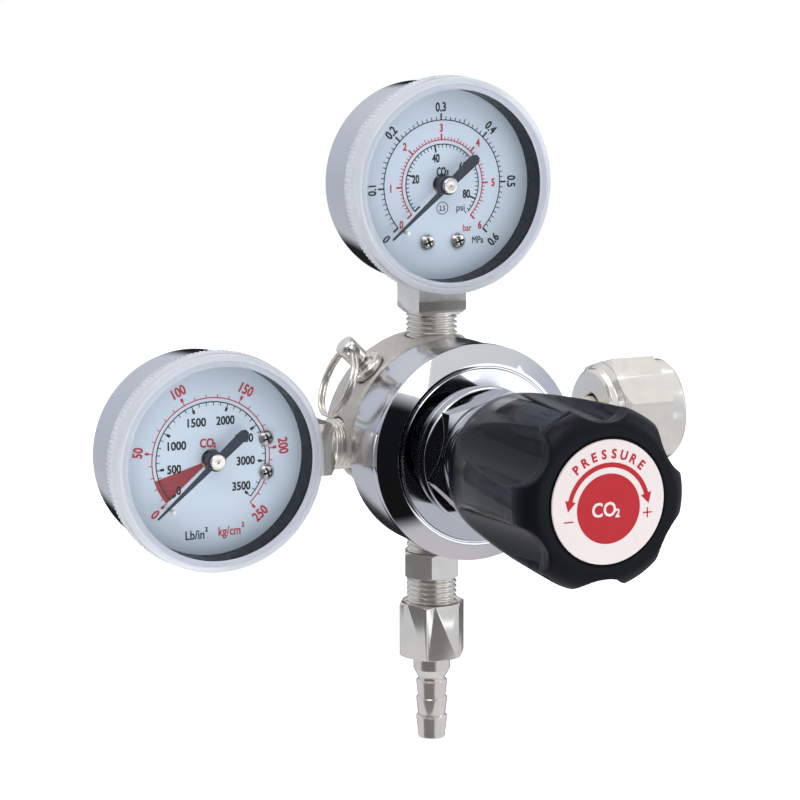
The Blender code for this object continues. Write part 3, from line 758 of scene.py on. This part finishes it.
def pointer(tag, centre):
    """The needle at zero: a narrow blade, a round hub with a skirt, and a broad tail with a cut end."""
    blade = [(20.5, 0.17), (20.2, 0.24), (2.0, 0.78), (0, 1.6), (-1.5, 1.15), (-9.8, 1.38), (-10.9, 0.6)]
    outline = blade + [(along, -half) for along, half in reversed(blade)]
    shape = bmesh.new()
    low = POINTER_LEVEL
    extrude_outline(shape, outline, low, low + 0.42)
    needle = place(new_piece(f"{tag}_needle", shape, [MATERIAL["needle_paint"]]), centre, FRONT, DIAL_ZERO)
    bevel_edges(needle, 0.08, 2)
    skirt = [
        (low + 0.72, 0), (low + 0.72, 1.85), (low + 0.5, 2.45), (low - 0.3, 2.45), (low - 0.5, 2.2),
        (6.6, 2.2), (6.6, 1.3), (low - 0.2, 1.2), (low - 0.2, 0),
    ]
    hub = turned("hub", skirt, [MATERIAL["needle_paint"]], centre, FRONT, 0.1, 64)
    body = f"{tag}_pointer"
    finish_piece(merge(f"{tag}_pointer_blade", [needle, hub]), body, "pointer_paint", f"{tag}_pointer")
    cap = [(11.7, 0.3), (11.7, 1.85, 0.2), (11.5, 2.05, 0.1), (10.75, 2.05), (10.75, 0.3)]
    ring = turned("cap", cap, [MATERIAL["nickel_plate"]], centre, FRONT, 0.1, 48, closed=True)
    core = turned("core", [(11.66, 0), (11.64, 0.3), (10.75, 0.3), (10.75, 0)], [MATERIAL["machined_brass"]],
                  centre, FRONT, 0.05, 24)
    finish_piece(merge(f"{tag}_hub_cap", [ring, core]), body, "nickel", f"{tag}_pointer_cap")


def gauge_socket(tag, centre, port):
    """The square wrench block, its thread into the body, and the neck into the case."""
    nickel = [MATERIAL["nickel_plate"]]
    corner = 6.7 * math.sqrt(2)
    square = turned("square", [(33.8, 0), (33.8, corner), (26.1, corner), (26.1, 0)], nickel, centre, port,
                    0, 4, spin=45)
    cone = [(33.8, 0), (33.8, corner - 1.9), (31.6, corner + 1), (25, corner + 1), (25, 0)]
    combine(square, turned("cone", cone, [], centre, port, 0, 4, spin=45), "INTERSECT")
    bevel_edges(square, 0.275, 3)
    screw = thread("thread", THREAD_R, THREAD_PITCH, 33.0, 50.0, nickel, centre, port)
    neck = turned("neck", [(27, 0), (27, 5.0), (16, 5.0), (16, 0)], nickel, centre, port, 0.2, 48)
    finish_piece(merge(f"{tag}_gauge_socket", [square, screw, neck]), "body", "nickel", f"{tag}_socket")


# ---------------------------------------------------------------- regulator

def casting():
    """The forged body: the frame's own solid with its corners melted together, under a sandy skin."""
    obj = add_object("body_casting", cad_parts["regulator_body"].data.copy())
    obj.data.materials.clear()
    remesh = obj.modifiers.new("Melt", "REMESH")
    remesh.mode = "VOXEL"
    remesh.voxel_size = VOXEL * MM
    smooth = obj.modifiers.new("Smooth", "SMOOTH")
    smooth.factor = 0.5
    smooth.iterations = 8
    apply_modifiers(obj)
    obj.data.materials.append(MATERIAL["cast_nickel"])
    obj.data.shade_smooth()
    finish_piece(obj, "body", "chrome", "regulator_body")


def barrel():
    """The turned, polished drum between the casting and the bonnet."""
    outline = [
        (23.9, 24.2), (23.9, 26.2, 0.2), (23.2, BARREL_R, 0.3), (8.2, BARREL_R, 0.15), (7.9, 26.6, 0.1),
        (7.9, 25.6),
    ]
    drum = turned("body_drum", outline, [MATERIAL["polished_drum"]], (0, 0, 0), FRONT, 0.15, 192, closed=True)
    finish_piece(drum, "body", "chrome")


def bonnet():
    chrome = [MATERIAL["chrome_plate"]]
    shell = [
        (60, 5.4), (60, 13.9, 0.6), (59, DOME_R, 0.5), (38.4, DOME_R, 0.1), (38.4, 15.1, 0), (33, 15.1),
        (33, 17.2, 0.25), (32.6, HEX_R, 0.2), (30.3, HEX_R, 0.2), (29.86, HEX_R, 0.1), (29.86, 21.8, 0.05),
        (29.6, 22.0, 0.05), (29.6, 22.35, 0.05), (29.86, 22.5, 0.05), (29.86, 23.2, 0.08),
        (26.5, 27.6, 0.12), (24.3, 27.6, 0.1), (24.3, 23.4), (19.6, 23.4), (19.6, 19.0), (27, 11.0),
        (52, 11.0), (52, 5.4),
    ]
    cover = turned("bonnet_shell", shell, chrome, (0, 0, 0), FRONT, 0.15, 192, closed=True)
    hex_ring = hexagon("bonnet_hex", 30.3, 30.6, 38.2, chrome, (0, 0, 0), FRONT, 16, chamfer=(32, 0),
                       face_r=0.885, bore=12.5)
    finish_piece(merge("bonnet_cover", [cover, hex_ring]), "body", "chrome", "bonnet")


# The cutter for the hollows between the knob's lobes: its radius, and how far its axis is from the knob's
# at the hollow's front end, at the knob's rear rim, and over the front bead
CUTTER_R = 10.6
CUTTER_FRONT = 27.1
CUTTER_REAR = 29.4
CUTTER_BEAD = 28.9
SCOOP_END = 90.2
KNOB_REAR = 48.2
KNOB_OUTLINE = [
    (94.35, 15.3), (94.3, 17.0), (93.9, 18.6), (93.0, 20.1), (91.8, 21.1), (90.4, 21.75), (89.0, 21.95),
    (87.0, 21.85), (80, 21.5), (70, 20.9), (60, 20.0), (52, 19.1), (48.8, 18.6), (KNOB_REAR, 18.3),
]


def outline_radius(height):
    """The knob's radius over its lobes at a height, from the outline read as a smooth line."""
    for (h1, r1), (h2, r2) in zip(KNOB_OUTLINE, KNOB_OUTLINE[1:]):
        if h2 <= height <= h1:
            return r2 + (r1 - r2) * (height - h2) / (h1 - h2)
    return KNOB_OUTLINE[-1][1] if height < KNOB_OUTLINE[-1][0] else KNOB_OUTLINE[0][1]


def smooth_step(low, high, value):
    t = max(0.0, min(1.0, (value - low) / (high - low)))
    return t * t * (3 - 2 * t)


def soft_min(a, b, blend):
    """The lesser of two radii, with the corner between them rounded over."""
    h = max(0.0, min(1.0, 0.5 + 0.5 * (b - a) / blend))
    return b + (a - b) * h - blend * h * (1 - h)


def cut_radius(radius, phi, distance):
    """The knob's radius after a round cutter whose axis stands at a distance from the knob's."""
    reach = distance * math.sin(phi)
    if reach >= CUTTER_R:
        return radius
    return soft_min(radius, distance * math.cos(phi) - math.sqrt(CUTTER_R ** 2 - reach ** 2), 0.35)


def knob_surface(angle, height):
    """Six lobes with a hollow between each pair, deep at its front wall and running out at the rear rim."""
    radius = outline_radius(height)
    across = (math.degrees(angle) - 30) % 60
    phi = math.radians(min(across, 60 - across))
    back = max(0.0, min(1.0, (SCOOP_END - height) / (SCOOP_END - 50)))
    hollow = cut_radius(radius, phi, CUTTER_FRONT + (CUTTER_REAR - CUTTER_FRONT) * back)
    notch = cut_radius(radius, phi, CUTTER_BEAD)
    wall = SCOOP_END - 26 * phi ** 2
    into_bead = smooth_step(wall - 0.6, wall + 0.4, height)
    return hollow * (1 - into_bead) + notch * into_bead


def knob():
    fine, steps = ((0.15, 432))
    heights = [94.35, 94.33, 94.25, 94.1, 93.9, 93.6, 93.2, 92.7, 92.1, 91.6, 91.2]
    at = 90.9
    while at > 86:
        heights.append(at)
        at -= fine
    while at > 49:
        heights.append(at)
        at -= 1.0
    heights += [48.8, 48.5, KNOB_REAR]
    shape = bmesh.new()
    rows = [[shape.verts.new((0, 0, 93.9))]]
    for height, radius in ((93.9, 14.8), (93.95, 15.0), (94.0, 15.1)):
        rows.append(vert_ring(shape, height, radius, steps))
    for height in heights:
        rows.append(vert_ring(shape, height, lambda angle: knob_surface(angle, height), steps))
    for radius in (17.9, 16.0):
        rows.append(vert_ring(
            shape, 48.0, lambda angle: min(radius, knob_surface(angle, KNOB_REAR) - 0.25), steps))
    for height, radius in ((48.3, 15.6), (68.6, 15.6), (68.6, 8.3), (90.4, 8.3)):
        rows.append(vert_ring(shape, height, radius, steps))
    rows.append([shape.verts.new((0, 0, 90.4))])
    join_rings(shape, rows, steps)
    obj = place(new_piece("knob_body", shape, [MATERIAL["gloss_black"], MATERIAL["satin_black"]],
                          math.radians(50)), (0, 0, 0), FRONT)
    for face in obj.data.polygons:
        if face.center.z > 90.9 * MM:
            face.material_index = 1
    finish_piece(obj, "knob", "black_plastic", "knob")


def knob_label():
    outline = [(94.66, 0), (94.66, 14.5, 0.12), (94.2, 14.6, 0.05), (94.2, 0)]
    disc = turned("label_disc", outline, [MATERIAL["label_white"]], (0, 0, 0), FRONT, 0.08, 144)
    finish_piece(disc, "knob", "white_print", "knob_label")
    red = Print("label_red_print", MATERIAL["label_red"])
    middle_of = Vector((0, -1.5))
    red.fan(8.2, 0, 360, middle_of, 96)
    arrow_r, band, left_end, right_end = 10.2, 1.15, 166, 16
    red.band(arrow_r - band / 2, arrow_r + band / 2, left_end, right_end, 60, middle_of)
    for angle, way in ((left_end, 1), (right_end, -1)):
        root = middle_of + Vector(around(arrow_r, angle))
        out = Vector(around(1, angle))
        on = Vector((-out.y, out.x)) * way
        red.prism([root - out * 1.4, root + out * 1.4, root + on * 2.5][::way])
    words = "PRESSURE"
    step = 11.8
    for i, letter in enumerate(words):
        angle = 90 - (i - (len(words) - 1) / 2) * step
        u, v = around(12.85, angle)
        red.text(letter, 2.2, u + middle_of.x, v + middle_of.y, angle - 90, squeeze=0.95, bold=0.08)
    reach, half = 1.2, 0.16
    for u, v, du, dv in ((-10.3, -3.8, reach, half), (10.2, -3.2, reach, half), (10.2, -3.2, half, reach)):
        red.prism([(u - du, v - dv), (u + du, v - dv), (u + du, v + dv), (u - du, v + dv)])
    red.place((0, 0, 0), 94.67, "knob", "white_print")
    white = Print("label_white_print", MATERIAL["label_white"])
    white.text("CO", 3.4, -1.2, -1.5, squeeze=0.9, bold=0.08)
    white.text("2", 2.0, 2.35, -2.6, squeeze=0.9, bold=0.08)
    white.place((0, 0, 0), 94.70, "knob", "white_print")


def relief_valve():
    nickel = [MATERIAL["nickel_plate"]]
    base = Vector((0, RELIEF_Y, 0))
    housing = [
        (30.3, 1.7), (30.3, 2.8), (29.7, 3.1), (29.4, 3.2), (29.4, 4.2, 0.25), (29.0, 4.6, 0.2),
        (27.7, 4.6, 0.2), (27.6, 4.0), (18.3, 4.0), (18.3, 3.2), (27.4, 3.2), (27.4, 1.7),
    ]
    body = turned("relief_housing", housing, nickel, base, RELIEF_OUT, 0.12, 72, closed=True)
    finish_piece(body, "body", "nickel", "relief_body")
    shaft = [(31.6, 0), (31.6, 1.3), (21.6, 1.3), (21.6, 2.9), (20.2, 2.9), (20.2, 0)]
    rod = turned("rod", shaft, nickel, base, RELIEF_OUT, 0.12, 40)
    button = [(37.5, 0), (37.5, 2.2, 0.2), (37.0, 2.7, 0.3), (31.4, 2.7, 0.4), (31.0, 2.2, 0.3), (31.0, 0)]
    head = turned("head", button, nickel, base, RELIEF_OUT, 0.12, 48)
    hole = base + RELIEF_OUT * RELIEF_HOLE
    eye = turned("hole", [(4, 0), (4, 1.75), (-4, 1.75), (-4, 0)], [], hole, FRONT, 0, 40)
    combine(head, eye, "DIFFERENCE")
    shade(head.data)
    bevel_edges(head, 0.12)
    finish_piece(merge("relief_pull_stem", [rod, head]), "relief_stem", "nickel", "relief_stem")
    finish_split_ring(hole)


def finish_split_ring(hole):
    """A split ring: two flat turns of wire side by side, with a short step from one to the other."""
    lean = Matrix.Rotation(math.radians(RING_LEAN), 3, "Y")
    twist = Matrix.Rotation(math.radians(RING_TWIST), 3, "Z")
    count, whole = 240, 4 * math.pi - 0.6
    points = []
    for i in range(count + 1):
        along = whole * i / count
        angle = along + math.radians(200)
        side = (RING_WIRE + 0.01) * (2 * smooth_step(2 * math.pi - 0.55, 2 * math.pi - 0.02, along) - 1)
        flat = Vector((side, RING_R * math.sin(angle), RING_R * (math.cos(angle) - 1)))
        points.append(hole + lean @ (twist @ flat))
    ring = tube("relief_split_ring", points, RING_WIRE, MATERIAL["nickel_plate"])
    finish_piece(ring, "relief_ring", "nickel", "relief_ring")


def outlet():
    nickel = [MATERIAL["nickel_plate"]]
    zero = (0, 0, 0)
    upper = thread("upper", THREAD_R, THREAD_PITCH, 16, 30.9, nickel, zero, DOWN, bore=3.0)
    small_hex = hexagon("small_hex", 13.9, 30.4, 37.0, nickel, zero, DOWN, -5, bore=3.0)
    lower = thread("lower", THREAD_R, THREAD_PITCH, 36.6, 52.3, nickel, zero, DOWN, bore=3.0)
    finish_piece(merge("outlet_nipple", [upper, small_hex, lower]), "body", "nickel", "outlet_fitting")
    nut = hexagon("outlet_swivel_nut", 15.8, 44, 58.5, nickel, zero, DOWN, 4)
    bores = [(70, 0), (70, 5.2), (55.4, 5.2), (55.4, 6.9), (44.9, 6.9), (43.9, 7.6), (30, 7.6), (30, 0)]
    combine(nut, turned("bores", bores, [], zero, DOWN, 0, 64), "DIFFERENCE")
    shade(nut.data)
    finish_piece(nut, "outlet_nut", "nickel", "outlet_nut")
    barb = [(81.0, 2.0), (81.0, 3.35, 0.15), (80.6, 3.62, 0.1)]
    for crest in (75.2, 70.2, 65.5):
        barb += [(crest + 4.6, 3.62, 0), (crest + 0.35, 4.12, 0.05), (crest, 4.18, 0.12),
                 (crest - 0.25, 3.5, 0.1)]
    barb += [(64.6, 3.5, 0.3), (62.2, 4.85, 0.3), (55.1, 4.85), (55.1, 6.4), (52.6, 6.4), (52.6, 2.0)]
    tail = turned("hose_barb_tail", barb, nickel, zero, DOWN, 0.1, 96, closed=True)
    finish_piece(tail, "body", "nickel", "hose_barb")


def inlet():
    nickel = [MATERIAL["nickel_plate"]]
    axis = Vector((0, INLET_Y, 0))
    stem = [
        (64.0, 2.6), (64.0, 8.6), (63.2, 9.4), (58.4, 9.4), (58.4, 5.0), (37.8, 5.0), (37.8, 7.2),
        (30.6, 7.2), (30.6, 6.2), (20, 6.2), (20, 2.6),
    ]
    pipe = turned("pipe", stem, nickel, axis, RIGHT, 0.25, 72, closed=True)
    wrench = hexagon("wrench", 17.0, 30.4, 38.0, nickel, axis, RIGHT, 12, bore=4.0)
    screw = thread("screw", THREAD_R, THREAD_PITCH, 20, 31, nickel, axis, RIGHT, bore=3.0)
    finish_piece(merge("inlet_stem", [pipe, wrench, screw]), "body", "nickel", "inlet_nipple")
    sleeve = [
        (76, 0), (76, 13.1, 0.3), (75.2, 13.85, 0.3), (60, 13.85), (57.0, 13.85, 0.3), (55.6, 12.4, 0.4),
        (54.2, 12.2, 0.2), (53.5, 11.5, 0.2), (53.5, 0),
    ]
    nut = turned("inlet_union_nut", sleeve, nickel, axis, RIGHT, 0.2, 144)
    block = hexagon("block", 27.5, 56.9, 71.3, nickel, axis, RIGHT, 13, chamfer=(18, 38))
    block.modifiers.clear()
    combine(nut, block, "UNION")
    bores = [
        (90, 0), (90, 11.9), (76.1, 11.9), (74.9, 10.9), (58, 10.9), (58, 5.6), (54.0, 5.6), (53.4, 6.2),
        (50, 6.2), (50, 0),
    ]
    combine(nut, turned("bores", bores, [], axis, RIGHT, 0, 96), "DIFFERENCE")
    shade(nut.data, math.radians(25))
    bevel_edges(nut, 0.18, 3, 14)
    lining = thread("lining", 10.95, 1.814, 63.0, 75.0, nickel, axis, RIGHT, 0.75, inside=True, bore=11.6)
    finish_piece(merge("inlet_nut_body", [nut, lining]), "inlet_nut", "nickel", "inlet_nut")


MOVEMENT = ["arbor", "movement_frame", "sector_gear", "link", "bourdon_tube", "tube_tip"]
CAD_LOOKS = {
    "machined_brass": ["spring_button", "diaphragm_plate", "knob_insert", "valve_poppet"]
    + [f"{tag}_{piece}" for tag in ("low", "high") for piece in MOVEMENT],
    "spring_wire": ["adjusting_spring", "valve_spring", "relief_spring"],
    "nitrile_rubber": ["diaphragm", "relief_seal"],
    "zinc_steel": ["slip_ring", "adjusting_screw"],
    "nylon": ["valve_seat", "inlet_washer"],
    "sintered_bronze": ["inlet_filter"],
    "nickel_plate": ["valve_plug", "low_stop_pin", "high_stop_pin"],
}


def dress_frame():
    """The frame's own solids that stay: hidden springs, valve parts and the gauges' movements."""
    for look, names in CAD_LOOKS.items():
        for name in names:
            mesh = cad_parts[name].data
            mesh.materials.clear()
            mesh.materials.append(MATERIAL[look])


# ---------------------------------------------------------------- studio

def area_light(name, at, size, radiance, colour=(1, 1, 1)):
    """A soft box that looks at the regulator; its power follows from how bright its face is."""
    light = bpy.data.lights.new(name, "AREA")
    light.shape = "RECTANGLE"
    light.size, light.size_y = size[0] * MM, size[1] * MM
    light.energy = radiance * math.pi * light.size * light.size_y
    light.color = colour
    lamp = add_object(name, light)
    lamp.location = metres(at)
    lamp.rotation_mode = "QUATERNION"
    lamp.rotation_quaternion = (metres((0, 0, 0)) - lamp.location).to_track_quat("-Z", "Y")


def dark_card(tree, direction, towards, inner, outer, grey):
    """1 away from a direction, and grey within an angle of it, as a soft-edged card would look."""
    dot = tree.nodes.new("ShaderNodeVectorMath")
    dot.operation = "DOT_PRODUCT"
    tree.links.new(direction, dot.inputs[0])
    dot.inputs[1].default_value = Vector(towards).normalized()
    edge = node(tree, "ShaderNodeMapRange", From_Min=math.cos(math.radians(outer)),
                From_Max=math.cos(math.radians(inner)), To_Min=1.0, To_Max=grey)
    edge.interpolation_type = "SMOOTHSTEP"
    tree.links.new(dot.outputs["Value"], edge.inputs["Value"])
    return edge.outputs["Result"]


def multiply(tree, one, two):
    product = tree.nodes.new("ShaderNodeMath")
    product.operation = "MULTIPLY"
    tree.links.new(one, product.inputs[0])
    tree.links.new(two, product.inputs[1])
    return product.outputs["Value"]


def studio():
    world = bpy.data.worlds.new("Studio")
    bpy.context.scene.world = world
    world.use_nodes = True
    tree = world.node_tree
    sky = tree.nodes["Background"]
    direction = tree.nodes.new("ShaderNodeTexCoord").outputs["Generated"]
    split = tree.nodes.new("ShaderNodeSeparateXYZ")
    tree.links.new(direction, split.inputs["Vector"])
    height = node(tree, "ShaderNodeMapRange", From_Min=-1.0, From_Max=1.0)
    tree.links.new(split.outputs["Z"], height.inputs["Value"])
    ramp = tree.nodes.new("ShaderNodeValToRGB")
    ramp.color_ramp.interpolation = "EASE"
    stops = [
        (0.0, (0.74, 0.70, 0.72)), (0.12, (0.66, 0.64, 0.66)), (0.45, (0.58, 0.62, 0.69)),
        (0.62, (0.64, 0.68, 0.76)), (0.85, (0.86, 0.87, 0.89)), (1.0, (0.90, 0.90, 0.90)),
    ]
    for where, _ in stops[1:-1]:
        ramp.color_ramp.elements.new(where)
    for element, (where, colour) in zip(ramp.color_ramp.elements, stops):
        element.position = where
        element.color = (*colour, 1)
    tree.links.new(height.outputs["Result"], ramp.inputs["Fac"])
    left = dark_card(tree, direction, (-0.70, -0.67, -0.22), 38, 52, 0.015)
    behind = dark_card(tree, direction, (0.45, 0.86, -0.25), 25, 35, 0.03)
    tree.links.new(ramp.outputs["Color"], sky.inputs["Color"])
    tree.links.new(multiply(tree, left, behind), sky.inputs["Strength"])
    white = node(tree, "ShaderNodeBackground", Color=(1, 1, 1, 1), Strength=1.0)
    seen = tree.nodes.new("ShaderNodeLightPath")
    mix = tree.nodes.new("ShaderNodeMixShader")
    tree.links.new(seen.outputs["Is Camera Ray"], mix.inputs["Fac"])
    tree.links.new(sky.outputs["Background"], mix.inputs[1])
    tree.links.new(white.outputs["Background"], mix.inputs[2])
    tree.links.new(mix.outputs["Shader"], tree.nodes["World Output"].inputs["Surface"])
    shape = bmesh.new()
    bmesh.ops.create_circle(shape, cap_ends=True, segments=96, radius=FLOOR_R)
    paper = principled("floor_white", (0.92, 0.92, 0.92), 0.7, Emission_Color=(1, 1, 1, 1),
                       Emission_Strength=0.55)
    floor = place(new_piece("floor", shape, [paper]), (0, 0, FLOOR_LEVEL), UP)
    floor.visible_glossy = False
    area_light("key", (-420, -420, 760), (520, 520), 2.2)
    area_light("fill_right", (760, -420, 260), (360, 620), 1.35)
    area_light("top", (150, 200, 820), (700, 520), 1.35)
    area_light("front_low", (260, -900, -120), (620, 200), 1.0)
    scene = bpy.context.scene
    scene.view_settings.view_transform = "Standard"
    scene.view_settings.look = "None"


def camera():
    """The view: an eye point, a direction and a small roll."""
    azimuth, elevation, roll = (math.radians(angle) for angle in (VIEW_AZIMUTH, VIEW_ELEVATION, VIEW_ROLL))
    back = Vector((math.sin(azimuth) * math.cos(elevation), -math.cos(azimuth) * math.cos(elevation),
                   math.sin(elevation)))
    right = Vector((math.cos(azimuth), math.sin(azimuth), 0))
    up = back.cross(right)
    right, up = right * math.cos(roll) + up * math.sin(roll), up * math.cos(roll) - right * math.sin(roll)
    data = bpy.data.cameras.new("Camera")
    data.sensor_width = 36
    data.lens = VIEW_LENS
    data.clip_start = 0.01
    eye = add_object("Camera", data)
    axes = Matrix((right, up, back)).transposed().to_4x4()
    eye.matrix_world = Matrix.Translation(metres(VIEW_EYE)) @ axes
    bpy.context.scene.camera = eye


MATERIAL = make_materials()
camera()
casting()
barrel()
bonnet()
knob()
knob_label()
gauge("low", LOW_CENTRE, DOWN, [(-4.3, -14.6), (4.3, -14.6)], low_dial_print())
gauge("high", HIGH_CENTRE, RIGHT, [(14.6, 4.3), (14.6, -4.3)], high_dial_print())
relief_valve()
outlet()
inlet()
dress_frame()
studio()
